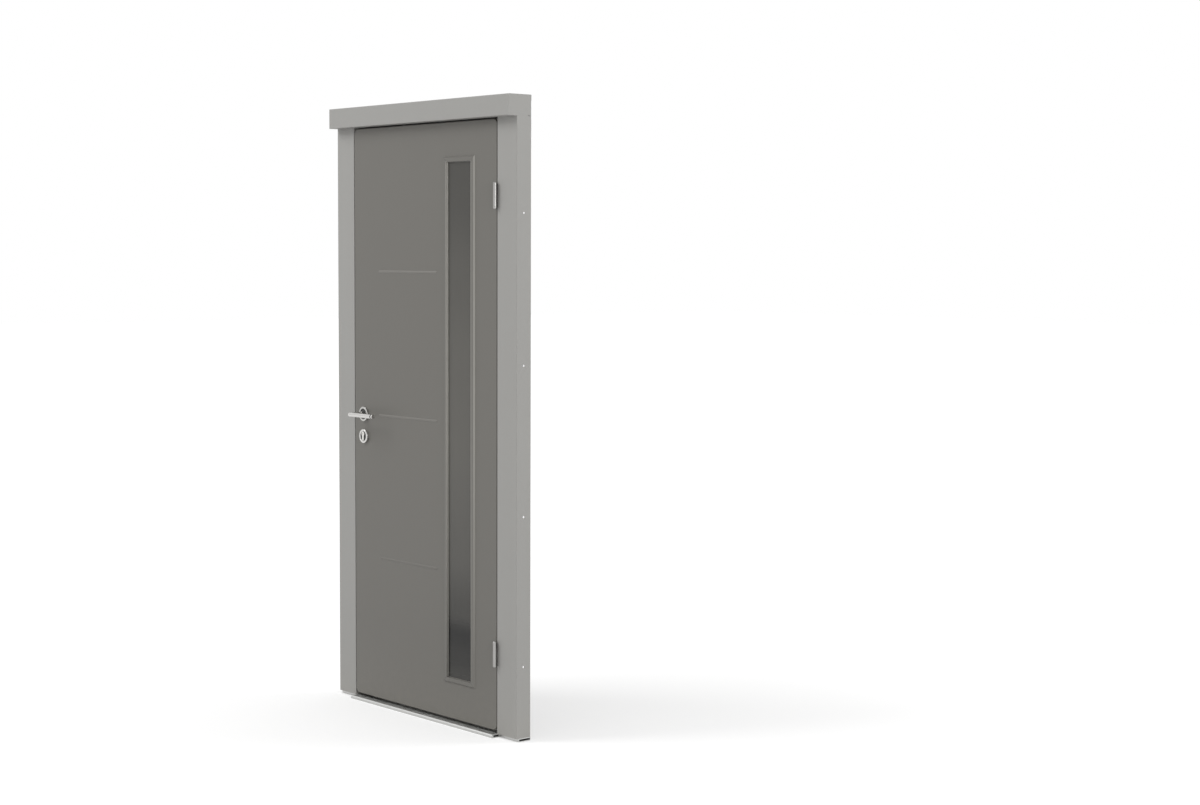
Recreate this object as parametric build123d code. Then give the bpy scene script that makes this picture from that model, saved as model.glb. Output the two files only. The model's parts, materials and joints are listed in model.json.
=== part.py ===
import os
from build123d import *

os.makedirs("parts", exist_ok=True)

# sizes in mm: X runs to the hinge side, Y runs into the shed, Z is up, the leaf's outer face is Y = 0
leaf_width = 830.0
leaf_height = 2038.0
leaf_depth = 38.0
leaf_corner_radius = 18.0
skin = 1.2
skin_bend = 2.4
back_lip = 18.0

# gaps that let the leaf swing
side_gap = 3.5
head_gap = 5.0
foot_gap = 10.0
stop_gap = 5.0

# outer frame, folded from sheet
frame_sheet = 1.5
frame_bend = 2.0
jamb_face = 104.0
frame_depth = 60.0
frame_back_lip = 20.0
stop_width = 20.0
head_face = 70.0
head_projection = 35.0

# aluminium threshold
sill_height = 12.0
sill_nose = 22.0
sill_nose_round = 7.2
sill_set_back = 10.0
sill_wall = 2.5
sill_stop_height = 20.0
sill_stop_thickness = 3.0
sill_rib_pitch = 5.5
sill_rib_width = 2.5
sill_rib_depth = 1.0
sill_rib_count = 4
sill_side_clearance = 0.5

# seals on the stops
seal_width = 12.0
seal_thickness = 4.0

# glazed strip with a bevelled trim
window_from_lock_edge = 557.0
window_width = 138.0
window_margin_foot = 141.0
window_margin_top = 133.0
trim_width = 18.0
trim_proud = 5.0
trim_rim = 13.0
trim_wall = 1.4
trim_clearance = 0.3
gasket_thickness = 1.5
gasket_width = 14.0
pane_thickness = 3.0
window_hold = 24.0

# three pressed beads and the hat sections behind them
bead_from_lock_edge = 150.0
bead_trim_margin = 41.0
bead_width = 9.0
bead_height = 1.8
bead_pitch = 511.0
stiffener_sheet = 1.2
stiffener_depth = 22.0
stiffener_web = 32.0
stiffener_foot = 15.0
stiffener_slope = 5.0

# stiles and rails inside the leaf
stile_sheet = 1.5
stile_width = 98.0
stile_end_inset = 22.0
rail_height = 74.0

# lever set, lock and cylinder
lever_above_foot = 1020.0
lever_backset = 60.0
lever_radius = 8.0
lever_reach = 138.0
lever_stand_off = 60.0
lever_neck_gap = 0.5
lever_end_bevel = 1.2
rose_radius = 26.0
rose_height = 8.0
rose_bevel = 1.2
running_clearance = 0.05
spindle_side = 8.0
spindle_socket = 20.0
spindle_hole_radius = 11.0
lock_centres = 72.0
escutcheon_drop = 8.0
escutcheon_radius = 25.0
cylinder_radius = 8.5
cylinder_slot = 10.0
cylinder_height = 33.0
cylinder_stand_out = 1.0
cylinder_clearance = 0.3
cylinder_hole_gap = 0.9
key_slot_width = 1.6
key_slot_height = 8.0
key_slot_depth = 12.0
lock_case_length = 90.0
lock_case_height = 190.0
lock_case_depth = 16.0
lock_case_wall = 1.5
lock_plate_width = 20.0
lock_plate_height = 210.0
bolt_depth = 11.0
latch_height = 20.0
dead_bolt_height = 34.0
bolt_length = 40.0
bolt_play = 1.0

# barrel hinges
lower_hinge_inset = 260.0
upper_hinge_inset = 252.0
hinge_length = 88.0
hinge_radius = 6.5
hinge_stand_off = 9.5
hinge_pin_radius = 3.5
hinge_plate = 2.5
hinge_plate_depth = 30.0
hinge_washer = 1.5
hinge_axial_play = 0.1
pin_cap = 3.0
pin_cap_bevel = 2.0
pin_seat_clearance = 0.02

# corner gussets behind the frame
gusset_sheet = 3.0
gusset_inset = 4.0

# fixing holes through the jambs' outer flanges
fixing_radius = 3.5
fixing_first = 250.0
fixing_pitch = 500.0
fixing_count = 4

# how near an edge lies to a level to be picked with it
level_match = 0.01

# levels and edges worked out from the sizes
leaf_left = -leaf_width / 2
leaf_right = leaf_width / 2
leaf_foot = sill_height + foot_gap
leaf_top = leaf_foot + leaf_height
stop_level = leaf_depth + stop_gap + seal_thickness
reveal = leaf_width / 2 + side_gap
frame_side = reveal + jamb_face
head_foot = leaf_top + head_gap
head_top = head_foot + head_face
back_of_web = leaf_depth - skin
lever_x = leaf_left + lever_backset
lever_z = leaf_foot + lever_above_foot
cylinder_z = lever_z - lock_centres
escutcheon_z = cylinder_z - escutcheon_drop
lock_z = (lever_z + escutcheon_z) / 2
lock_y = leaf_depth / 2
window_left = leaf_left + window_from_lock_edge
window_right = window_left + window_width
window_foot = leaf_foot + window_margin_foot
window_top = leaf_top - window_margin_top
axis_x = reveal
axis_y = -hinge_stand_off


def slab(x0, x1, y0, y1, z0, z1):
    return Pos((x0 + x1) / 2, (y0 + y1) / 2, (z0 + z1) / 2) * Box(x1 - x0, y1 - y0, z1 - z0)


def round_y(x, z, radius, y0, y1):
    return Pos(x, (y0 + y1) / 2, z) * Rot(90, 0, 0) * Cylinder(radius, y1 - y0)


def round_x(y, z, radius, x0, x1):
    return Pos((x0 + x1) / 2, y, z) * Rot(0, 90, 0) * Cylinder(radius, x1 - x0)


def round_z(x, y, radius, z0, z1):
    return Pos(x, y, (z0 + z1) / 2) * Cylinder(radius, z1 - z0)


def panel(x0, x1, z0, z1, radius, y0, y1):
    # rounded rectangle seen from the front, carried from y0 to y1
    outline = Plane(origin=((x0 + x1) / 2, y0, (z0 + z1) / 2), x_dir=(1, 0, 0), z_dir=(0, 1, 0))
    return extrude(outline * RectangleRounded(x1 - x0, z1 - z0, radius), amount=y1 - y0)


def folded(points, sheet, bend, plane, length):
    # sheet of even thickness laid on the left of a line with rounded folds
    line = FilletPolyline(*points, radius=bend)
    section = Face(line.offset_2d(sheet, Kind.ARC, Side.LEFT, closed=True))
    return extrude(plane * section, amount=length)


def euro_profile(y0, y1, grow, slot_grow):
    # round head with a narrower round-ended leg hanging below it
    leg_radius = cylinder_slot / 2 + slot_grow
    leg_z = cylinder_z + cylinder_radius - cylinder_height + cylinder_slot / 2
    head = round_y(lever_x, cylinder_z, cylinder_radius + grow, y0, y1)
    leg = slab(lever_x - leg_radius, lever_x + leg_radius, y0, y1, leg_z, cylinder_z)
    return head + leg + round_y(lever_x, leg_z, leg_radius, y0, y1)


def front_edges(solid, y):
    return [edge for edge in solid.edges() if abs(edge.bounding_box().min.Y - y) < level_match
            and abs(edge.bounding_box().max.Y - y) < level_match]


def save(solid, name):
    export_step(solid, f"parts/{name}.step")


# leaf skin: a pan folded back on all sides, with a lip round its open back
outer = panel(leaf_left, leaf_right, leaf_foot, leaf_top, leaf_corner_radius, 0, leaf_depth)
outer = fillet(front_edges(outer, 0), skin_bend)
hollow = panel(leaf_left + skin, leaf_right - skin, leaf_foot + skin, leaf_top - skin,
               leaf_corner_radius - skin, skin, back_of_web)
hollow = fillet(front_edges(hollow, skin), skin_bend - skin)
back_opening = panel(leaf_left + back_lip, leaf_right - back_lip,
                     leaf_foot + back_lip, leaf_top - back_lip, skin_bend, back_of_web, leaf_depth)
pan = outer - hollow - back_opening


def window_box(grow, y0, y1):
    return slab(window_left - grow, window_right + grow, y0, y1, window_foot - grow, window_top + grow)


# cut-out that the window trim's sleeve passes through
pan -= window_box(trim_wall + trim_clearance, 0, skin)

# beads pressed outwards, the sheet keeping its thickness over them
bead_radius = (bead_width ** 2 / 4 + bead_height ** 2) / (2 * bead_height)
bead_y = bead_radius - bead_height
bead_x0 = leaf_left + bead_from_lock_edge
bead_x1 = window_left - trim_width - bead_trim_margin
bead_levels = [lever_z - bead_pitch, lever_z, lever_z + bead_pitch]


def bead_rod(radius, z):
    rod = round_x(bead_y, z, radius, bead_x0 + bead_width / 2, bead_x1 - bead_width / 2)
    rod += Pos(bead_x0 + bead_width / 2, bead_y, z) * Sphere(radius)
    return rod + Pos(bead_x1 - bead_width / 2, bead_y, z) * Sphere(radius)


for level in bead_levels:
    crest = bead_rod(bead_radius, level)
    crest -= slab(leaf_left, leaf_right, skin, leaf_depth, leaf_foot, leaf_top)
    pan = pan + crest - bead_rod(bead_radius - skin, level)

# holes for the spindle, the cylinder and the lock plate
plate_back = skin + stile_sheet
plate_y0 = lock_y - lock_plate_width / 2
plate_y1 = lock_y + lock_plate_width / 2
plate_z0 = lock_z - lock_plate_height / 2
plate_z1 = lock_z + lock_plate_height / 2
plate_pocket = slab(leaf_left, leaf_left + plate_back, plate_y0, plate_y1, plate_z0, plate_z1)
spindle_way = round_y(lever_x, lever_z, spindle_hole_radius, -leaf_depth, 2 * leaf_depth)
cylinder_way = euro_profile(-leaf_depth, 2 * leaf_depth, cylinder_hole_gap, cylinder_hole_gap)
pan = pan - plate_pocket - spindle_way - cylinder_way
save(pan, "door_skin")

# stiles: channels open to the skin
stile_foot = leaf_foot + stile_end_inset
stile_length = leaf_height - 2 * stile_end_inset
stile_plane = Plane.XY.offset(stile_foot)
lock_edge = leaf_left + skin
hinge_edge = leaf_right - skin
lock_stile = folded([(lock_edge + stile_width, skin), (lock_edge + stile_width, back_of_web),
                     (lock_edge, back_of_web), (lock_edge, skin + skin_bend)],
                    stile_sheet, frame_bend, stile_plane, stile_length)
lock_stile = lock_stile - plate_pocket - spindle_way - cylinder_way
save(lock_stile, "lock_stile")
hinge_stile = folded([(hinge_edge, skin + skin_bend), (hinge_edge, back_of_web),
                      (hinge_edge - stile_width, back_of_web), (hinge_edge - stile_width, skin)],
                     stile_sheet, frame_bend, stile_plane, stile_length)
save(hinge_stile, "hinge_stile")

# rails between the stiles
rail_plane = Plane.YZ.offset(lock_edge + stile_width)
rail_length = hinge_edge - lock_edge - 2 * stile_width
top_edge = leaf_top - skin
foot_edge = leaf_foot + skin
top_line = [(skin, top_edge - rail_height), (back_of_web, top_edge - rail_height),
            (back_of_web, top_edge), (skin + skin_bend, top_edge)]
foot_line = [(skin + skin_bend, foot_edge), (back_of_web, foot_edge),
             (back_of_web, foot_edge + rail_height), (skin, foot_edge + rail_height)]
save(folded(top_line, stile_sheet, frame_bend, rail_plane, rail_length), "top_rail")
save(folded(foot_line, stile_sheet, frame_bend, rail_plane, rail_length), "bottom_rail")

# hat sections behind the beads, from the lock stile to the window's back frame
hat_start = lock_edge + stile_width
hat_end = window_left - window_hold
hat_plane = Plane.YZ.offset(hat_start)
hat_half = stiffener_web / 2
hat_foot = hat_half + stiffener_slope
hat_top = skin + stiffener_depth
for name, level in zip(["lower_stiffener", "middle_stiffener", "upper_stiffener"], bead_levels):
    hat_line = [(skin, level + hat_foot + stiffener_foot), (skin, level + hat_foot),
                (hat_top, level + hat_half), (hat_top, level - hat_half),
                (skin, level - hat_foot), (skin, level - hat_foot - stiffener_foot)]
    hat = folded(hat_line, stiffener_sheet, frame_bend, hat_plane, hat_end - hat_start)
    save(hat, name)

# glazing: mitred bevelled trim outside, gasket, pane and the frame that clamps them from behind
pane_front = skin + gasket_thickness
pane_back = pane_front + pane_thickness


def bevel(sink):
    # flat-topped pyramid over the window, sunk by the trim's wall for its hollow side
    middle_x = (window_left + window_right) / 2
    middle_z = (window_foot + window_top) / 2
    tall = window_top - window_foot
    base = Plane(origin=(middle_x, sink, middle_z), x_dir=(1, 0, 0), z_dir=(0, -1, 0))
    crest = Plane(origin=(middle_x, sink - trim_proud, middle_z), x_dir=(1, 0, 0), z_dir=(0, -1, 0))
    return loft([base * Rectangle(window_width + 2 * trim_width, tall + 2 * trim_width),
                 crest * Rectangle(window_width + 2 * trim_rim, tall + 2 * trim_rim)])


trim = bevel(0) - bevel(trim_wall) + window_box(trim_wall, -trim_proud, skin)
trim -= window_box(0, -trim_proud, skin)
save(trim, "window_trim")
save(window_box(gasket_width, skin, pane_front) - window_box(0, skin, pane_front), "window_gasket")
save(window_box(gasket_width, pane_front, pane_back), "window_pane")
clamp = window_box(window_hold, pane_back, back_of_web)
clamp -= window_box(window_hold - stile_sheet, pane_back + stile_sheet, back_of_web)
clamp -= window_box(0, pane_back, pane_back + stile_sheet)
save(clamp, "window_back_frame")

# lock case, plate and the two bolts held back in it
case_x0 = leaf_left + plate_back
case_x1 = case_x0 + lock_case_length
case_y0 = lock_y - lock_case_depth / 2
case_y1 = lock_y + lock_case_depth / 2
case_z0 = lock_z - lock_case_height / 2
case_z1 = lock_z + lock_case_height / 2
case = slab(case_x0, case_x1, case_y0, case_y1, case_z0, case_z1)
case -= slab(case_x0, case_x1 - lock_case_wall, case_y0 + lock_case_wall, case_y1 - lock_case_wall,
             case_z0 + lock_case_wall, case_z1 - lock_case_wall)
case = case - spindle_way - euro_profile(case_y0, case_y1, cylinder_clearance, 0)
save(case, "lock_case")
latch_z = lever_z + lock_centres / 2 - latch_height / 2
dead_bolt_z = cylinder_z
bolt_y0 = lock_y - bolt_depth / 2
bolt_y1 = lock_y + bolt_depth / 2


def bolt(z, height, x0, x1):
    return slab(x0, x1, bolt_y0, bolt_y1, z - height / 2, z + height / 2)


lock_plate = plate_pocket
for level, height in ((latch_z, latch_height), (dead_bolt_z, dead_bolt_height)):
    lock_plate -= bolt(level, height, leaf_left, leaf_left + plate_back)
save(lock_plate, "lock_faceplate")
bolt_tip = leaf_left + bolt_play
save(bolt(latch_z, latch_height, bolt_tip, bolt_tip + bolt_length), "latch_bolt")
dead_bolt_end = lever_x - cylinder_radius - 2 * bolt_play
save(bolt(dead_bolt_z, dead_bolt_height, bolt_tip, dead_bolt_end), "dead_bolt")

# cylinder with a key slot at both ends
cylinder_out = -rose_height - cylinder_stand_out
cylinder_in = back_of_web + rose_height + cylinder_stand_out
barrel = euro_profile(cylinder_out, cylinder_in, 0, 0)
outer_slot = (cylinder_out, cylinder_out + key_slot_depth)
inner_slot = (cylinder_in - key_slot_depth, cylinder_in)
for slot_y0, slot_y1 in (outer_slot, inner_slot):
    barrel -= slab(lever_x - key_slot_width / 2, lever_x + key_slot_width / 2, slot_y0, slot_y1,
                   cylinder_z - key_slot_height / 2, cylinder_z + key_slot_height / 2)
save(barrel, "lock_cylinder")

# roses and escutcheons: bevelled discs against the leaf
spindle_half = spindle_side / 2
for side, base, outward in (("outer", 0, -1), ("inner", back_of_web, 1)):
    rim_y = base + outward * rose_height
    y0 = min(base, rim_y)
    y1 = max(base, rim_y)
    rose = round_y(lever_x, lever_z, rose_radius, y0, y1)
    rose = chamfer(front_edges(rose, rim_y), rose_bevel)
    rose -= round_y(lever_x, lever_z, lever_radius + running_clearance, y0, y1)
    save(rose, f"{side}_rose")
    guard = round_y(lever_x, escutcheon_z, escutcheon_radius, y0, y1)
    guard = chamfer(front_edges(guard, rim_y), rose_bevel)
    guard -= euro_profile(y0, y1, cylinder_clearance, cylinder_clearance)
    save(guard, f"{side}_escutcheon")

    # lever: one round bar with a mitred corner, a bevelled end and a square socket in its neck
    neck_y = base + outward * lever_neck_gap
    grip_y = base + outward * lever_stand_off
    corner = (lever_x, grip_y, lever_z)
    path = Polyline((lever_x, neck_y, lever_z), corner, (lever_x + lever_reach, grip_y, lever_z))
    start = Plane(origin=(lever_x, neck_y, lever_z), x_dir=(1, 0, 0), z_dir=(0, outward, 0))
    handle = sweep(start * Circle(lever_radius), path=path, transition=Transition.RIGHT)
    handle = chamfer(handle.faces().sort_by(Axis.X)[-1].edges(), lever_end_bevel)
    socket_y = neck_y + outward * spindle_socket
    handle -= slab(lever_x - spindle_half, lever_x + spindle_half,
                   min(neck_y, socket_y), max(neck_y, socket_y),
                   lever_z - spindle_half, lever_z + spindle_half)
    save(handle, f"{side}_lever")

spindle_reach = spindle_socket + lever_neck_gap
save(slab(lever_x - spindle_half, lever_x + spindle_half, -spindle_reach, back_of_web + spindle_reach,
          lever_z - spindle_half, lever_z + spindle_half), "spindle")

# barrel hinges: lower knuckle and pin on the frame, upper knuckle on the leaf
for name, middle in (("lower", leaf_foot + lower_hinge_inset), ("upper", leaf_top - upper_hinge_inset)):
    foot = middle - hinge_length / 2
    top = middle + hinge_length / 2
    washer_foot = middle - hinge_washer
    knuckle_foot = foot + pin_cap
    shaft_top = top - 2 * pin_cap
    frame_knuckle = round_z(axis_x, axis_y, hinge_radius, knuckle_foot, washer_foot)
    frame_knuckle += slab(reveal - hinge_plate, reveal, axis_y, hinge_plate_depth, knuckle_foot, washer_foot)
    frame_knuckle -= round_z(axis_x, axis_y, hinge_pin_radius + pin_seat_clearance, knuckle_foot, washer_foot)
    save(frame_knuckle, f"{name}_hinge_frame_leaf")
    washer = round_z(axis_x, axis_y, hinge_radius, washer_foot, middle)
    washer -= round_z(axis_x, axis_y, hinge_pin_radius + pin_seat_clearance, washer_foot, middle)
    save(washer, f"{name}_hinge_washer")
    pin_head = round_z(axis_x, axis_y, hinge_radius, foot, knuckle_foot)
    pin_head = chamfer(pin_head.edges().group_by(Axis.Z)[0], pin_cap_bevel)
    pin = pin_head + round_z(axis_x, axis_y, hinge_pin_radius, knuckle_foot, shaft_top)
    save(pin, f"{name}_hinge_pin")
    door_knuckle = round_z(axis_x, axis_y, hinge_radius, middle + hinge_axial_play, top)
    door_knuckle = chamfer(door_knuckle.edges().group_by(Axis.Z)[-1], pin_cap_bevel)
    door_knuckle += slab(leaf_right, leaf_right + hinge_plate, axis_y, hinge_plate_depth,
                         middle + hinge_axial_play, top - pin_cap)
    bore_top = shaft_top + hinge_axial_play
    door_knuckle -= round_z(axis_x, axis_y, hinge_pin_radius + running_clearance, middle, bore_top)
    save(door_knuckle, f"{name}_hinge_door_leaf")

# jambs: outer flange, face, reveal and stop folded from one sheet
jamb_plane = Plane.XY.offset(sill_height)
jamb_length = head_foot - sill_height
lock_jamb = folded([(frame_back_lip - frame_side, frame_depth), (-frame_side, frame_depth), (-frame_side, 0),
                    (-reveal, 0), (-reveal, stop_level), (stop_width - reveal, stop_level),
                    (stop_width - reveal, frame_depth)],
                   frame_sheet, frame_bend, jamb_plane, jamb_length)
hinge_jamb = mirror(lock_jamb, about=Plane.YZ)
strike_pocket = slab(-reveal - frame_sheet, -reveal, plate_y0, plate_y1, plate_z0, plate_z1)
fixing_levels = [fixing_first + index * fixing_pitch for index in range(fixing_count)]
for level in fixing_levels:
    lock_jamb -= round_x(frame_depth / 2, level, fixing_radius, -frame_side, frame_sheet - frame_side)
    hinge_jamb -= round_x(frame_depth / 2, level, fixing_radius, frame_side - frame_sheet, frame_side)
save(lock_jamb - strike_pocket, "lock_jamb")
save(hinge_jamb, "hinge_jamb")
strike = strike_pocket
for level, height in ((latch_z, latch_height), (dead_bolt_z, dead_bolt_height)):
    strike -= slab(-reveal - frame_sheet, -reveal, bolt_y0 - bolt_play, bolt_y1 + bolt_play,
                   level - height / 2 - bolt_play, level + height / 2 + bolt_play)
save(strike, "strike_plate")

# head rail: stands proud of the jambs and throws off the rain
head_plane = Plane.YZ.offset(-frame_side)
head_line = [(frame_depth, head_top - frame_back_lip), (frame_depth, head_top), (-head_projection, head_top),
             (-head_projection, head_foot), (stop_level, head_foot), (stop_level, head_foot - stop_width),
             (frame_depth, head_foot - stop_width)]
head = folded(head_line, frame_sheet, frame_bend, head_plane, 2 * frame_side)
stop_end = reveal - stop_width
for end0, end1 in ((-frame_side, -stop_end), (stop_end, frame_side)):
    head -= slab(end0, end1, 0, frame_depth, head_foot - 2 * stop_width, head_foot)
for end0, end1 in ((-frame_side, frame_sheet - frame_side), (frame_side - frame_sheet, frame_side)):
    head += slab(end0, end1, frame_sheet - head_projection, frame_depth - frame_sheet,
                 head_foot + frame_sheet, head_top - frame_sheet)
save(head, "head_rail")

# corner gussets behind the head's and the jambs' back lips
for name, sign in (("lock_side_gusset", -1), ("hinge_side_gusset", 1)):
    near = sign * (frame_side - gusset_inset)
    far = sign * (frame_side - frame_back_lip)
    reach = sign * (frame_side - jamb_face)
    arm_foot = head_foot - jamb_face
    arm_top = head_top - gusset_inset
    back_y = frame_depth + gusset_sheet
    upright = slab(min(near, far), max(near, far), frame_depth, back_y, arm_foot, arm_top)
    arm = slab(min(near, reach), max(near, reach), frame_depth, back_y, head_top - frame_back_lip, arm_top)
    save(upright + arm, name)

# seals on the fronts of the stops
seal_y0 = stop_level - seal_thickness
seal_inset = (stop_width - seal_width) / 2
seal_foot = sill_height + sill_stop_height
seal_top = head_foot - seal_inset - seal_width
for name, sign in (("lock_side_seal", -1), ("hinge_side_seal", 1)):
    edge0 = sign * (reveal - seal_inset)
    edge1 = sign * (reveal - seal_inset - seal_width)
    save(slab(min(edge0, edge1), max(edge0, edge1), seal_y0, stop_level, seal_foot, seal_top), name)
seal_end = reveal - seal_inset
save(slab(-seal_end, seal_end, seal_y0, stop_level, seal_top, seal_top + seal_width), "head_seal")

# threshold: notched round the jambs, ribbed nose outside, upstand behind the leaf
nose_side = reveal - sill_side_clearance
sill = slab(-nose_side, nose_side, -sill_nose, sill_set_back, 0, sill_height)
nose_edges = sill.edges().filter_by(Axis.X).sort_by(Axis.Y)[:2].sort_by(Axis.Z)[-1:]
sill = fillet(nose_edges, sill_nose_round)
for index in range(sill_rib_count):
    rib_y = -sill_nose + sill_nose_round + (index + 0.5) * sill_rib_pitch - sill_rib_width / 2
    rib_foot = sill_height - sill_rib_depth
    sill -= slab(-nose_side, nose_side, rib_y, rib_y + sill_rib_width, rib_foot, sill_height)
sill += slab(-frame_side, frame_side, sill_set_back, frame_depth, 0, sill_height)
sill += slab(-stop_end, stop_end, stop_level, stop_level + sill_stop_thickness, sill_height,
             sill_height + sill_stop_height)
nose_chamber = (sill_nose_round - sill_nose, sill_set_back - sill_wall)
back_chamber = (sill_set_back + sill_wall, frame_depth - sill_wall)
for y0, y1 in (nose_chamber, back_chamber):
    sill -= slab(-frame_side, frame_side, y0, y1, sill_wall, sill_height - sill_wall - sill_rib_depth)
save(sill, "threshold")
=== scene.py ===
import json
import math

import bmesh
import bpy
import numpy as np
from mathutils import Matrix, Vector


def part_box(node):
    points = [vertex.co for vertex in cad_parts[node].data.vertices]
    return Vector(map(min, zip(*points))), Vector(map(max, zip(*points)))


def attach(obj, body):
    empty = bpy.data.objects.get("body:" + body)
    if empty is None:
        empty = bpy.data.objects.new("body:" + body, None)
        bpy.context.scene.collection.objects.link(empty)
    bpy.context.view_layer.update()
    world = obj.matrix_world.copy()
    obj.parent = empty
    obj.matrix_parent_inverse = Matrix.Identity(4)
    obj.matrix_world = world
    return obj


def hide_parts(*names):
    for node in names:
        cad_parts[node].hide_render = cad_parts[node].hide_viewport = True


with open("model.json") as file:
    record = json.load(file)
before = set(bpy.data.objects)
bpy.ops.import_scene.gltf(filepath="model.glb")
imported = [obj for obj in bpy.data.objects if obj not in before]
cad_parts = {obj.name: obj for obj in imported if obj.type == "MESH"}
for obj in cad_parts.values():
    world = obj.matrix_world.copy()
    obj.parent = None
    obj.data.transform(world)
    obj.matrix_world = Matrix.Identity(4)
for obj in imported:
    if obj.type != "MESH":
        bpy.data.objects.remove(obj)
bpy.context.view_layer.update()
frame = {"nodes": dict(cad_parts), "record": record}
nodes = frame["nodes"]
scene = bpy.context.scene
mm = 0.001


def nodeBox(name):
    # lowest and highest corner of a CAD node
    return tuple(np.array(corner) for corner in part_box(name))


def middleOf(name):
    low, high = nodeBox(name)
    return (low + high) / 2


# shader helpers

def addNode(tree, kind, **settings):
    node = tree.nodes.new(kind)
    for key, value in settings.items():
        setattr(node, key, value)
    return node


def feed(tree, value, target):
    # a socket is linked, a number or a colour is set
    if isinstance(value, bpy.types.NodeSocket):
        tree.links.new(value, target)
    else:
        target.default_value = value


def mathNode(tree, operation, first, second=None, clamp=False):
    node = addNode(tree, "ShaderNodeMath", operation=operation, use_clamp=clamp)
    feed(tree, first, node.inputs[0])
    if second is not None:
        feed(tree, second, node.inputs[1])
    return node.outputs[0]


def vectorMath(tree, operation, first, second=None, result="Vector"):
    node = addNode(tree, "ShaderNodeVectorMath", operation=operation)
    feed(tree, first, node.inputs[0])
    if second is not None:
        feed(tree, second, node.inputs[1])
    return node.outputs[result]


def summed(tree, *values):
    total = values[0]
    for value in values[1:]:
        total = mathNode(tree, "ADD", total, value)
    return total


def scaled(tree, colour, factor):
    # a colour made lighter or darker by a factor
    node = addNode(tree, "ShaderNodeVectorMath", operation="SCALE")
    feed(tree, colour, node.inputs[0])
    feed(tree, factor, node.inputs["Scale"])
    return node.outputs["Vector"]


def objectCoords(tree):
    return addNode(tree, "ShaderNodeTexCoord").outputs["Object"]


def axes(tree, vector):
    # a vector's parts, under the names X, Y and Z
    split = addNode(tree, "ShaderNodeSeparateXYZ")
    feed(tree, vector, split.inputs[0])
    return split.outputs


def stretched(tree, vector, scale):
    node = addNode(tree, "ShaderNodeMapping")
    feed(tree, vector, node.inputs["Vector"])
    feed(tree, scale, node.inputs["Scale"])
    return node.outputs["Vector"]


def noise(tree, vector, scale, detail):
    node = addNode(tree, "ShaderNodeTexNoise")
    feed(tree, vector, node.inputs["Vector"])
    feed(tree, scale, node.inputs["Scale"])
    feed(tree, detail, node.inputs["Detail"])
    return node.outputs["Fac"]


def about(tree, pattern, amount):
    # a pattern between 0 and 1 becomes a swing of half the amount to either side
    return mathNode(tree, "MULTIPLY", mathNode(tree, "SUBTRACT", pattern, 0.5), amount)


def rising(tree, height, start, end):
    # 0 below the start, 1 above the end, with a soft step between
    step = addNode(tree, "ShaderNodeMapRange", interpolation_type="SMOOTHSTEP")
    feed(tree, height, step.inputs["Value"])
    feed(tree, start, step.inputs["From Min"])
    feed(tree, end, step.inputs["From Max"])
    return step.outputs["Result"]


def mixColours(tree, mask, first, second):
    node = addNode(tree, "ShaderNodeMix", data_type="RGBA")
    for value, socket in ((mask, 0), (first, 6), (second, 7)):  # the mask and the two colour sockets
        feed(tree, value, node.inputs[socket])
    return node.outputs[2]


def newGroup(name, inputs, outputs):
    group = bpy.data.node_groups.new(name, "ShaderNodeTree")
    for label, kind, value in inputs:
        group.interface.new_socket(label, in_out="INPUT", socket_type=kind).default_value = value
    for label, kind in outputs:
        group.interface.new_socket(label, in_out="OUTPUT", socket_type=kind)
    return group, addNode(group, "NodeGroupInput").outputs, addNode(group, "NodeGroupOutput").inputs


def placeGroup(tree, group, **values):
    node = addNode(tree, "ShaderNodeGroup", node_tree=group)
    for label, value in values.items():
        node.inputs[label].default_value = value
    return node.outputs


def newMaterial(name, **constants):
    material = bpy.data.materials.new(name)
    material.use_nodes = True
    shader = material.node_tree.nodes["Principled BSDF"]
    for label, value in constants.items():
        shader.inputs[label.replace("_", " ")].default_value = value
    return material, material.node_tree, shader


def addBump(tree, shader, height, strength, distance):
    bump = addNode(tree, "ShaderNodeBump")
    feed(tree, strength, bump.inputs["Strength"])
    feed(tree, distance, bump.inputs["Distance"])
    feed(tree, height, bump.inputs["Height"])
    feed(tree, bump.outputs["Normal"], shader.inputs["Normal"])


def grey(r, g, b):
    # colour as it is read on a screen, turned into light values
    value = np.array([r, g, b]) / 255
    light = np.where(value <= 0.04045, value / 12.92, ((value + 0.055) / 1.055) ** 2.4)
    return (*light.tolist(), 1.0)


# in the finishes below, a pattern is given as scale and detail

# powder coat: fine grain, slow clouding and faint rain streaks in the tone, and orange peel as height
powder = {"grain": (1700, 1.0), "cloud": (2.6, 3.0), "streak": (1.0, 2.0), "streakWay": (34, 34, 0.9),
          "peel": (520, 1.0), "grainTone": 0.06, "cloudTone": 0.06, "streakTone": 0.03, "cloudGloss": 0.12,
          "streakGloss": 0.08, "specular": 0.42, "bump": 0.10, "bumpDepth": 0.25 * mm}


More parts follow.
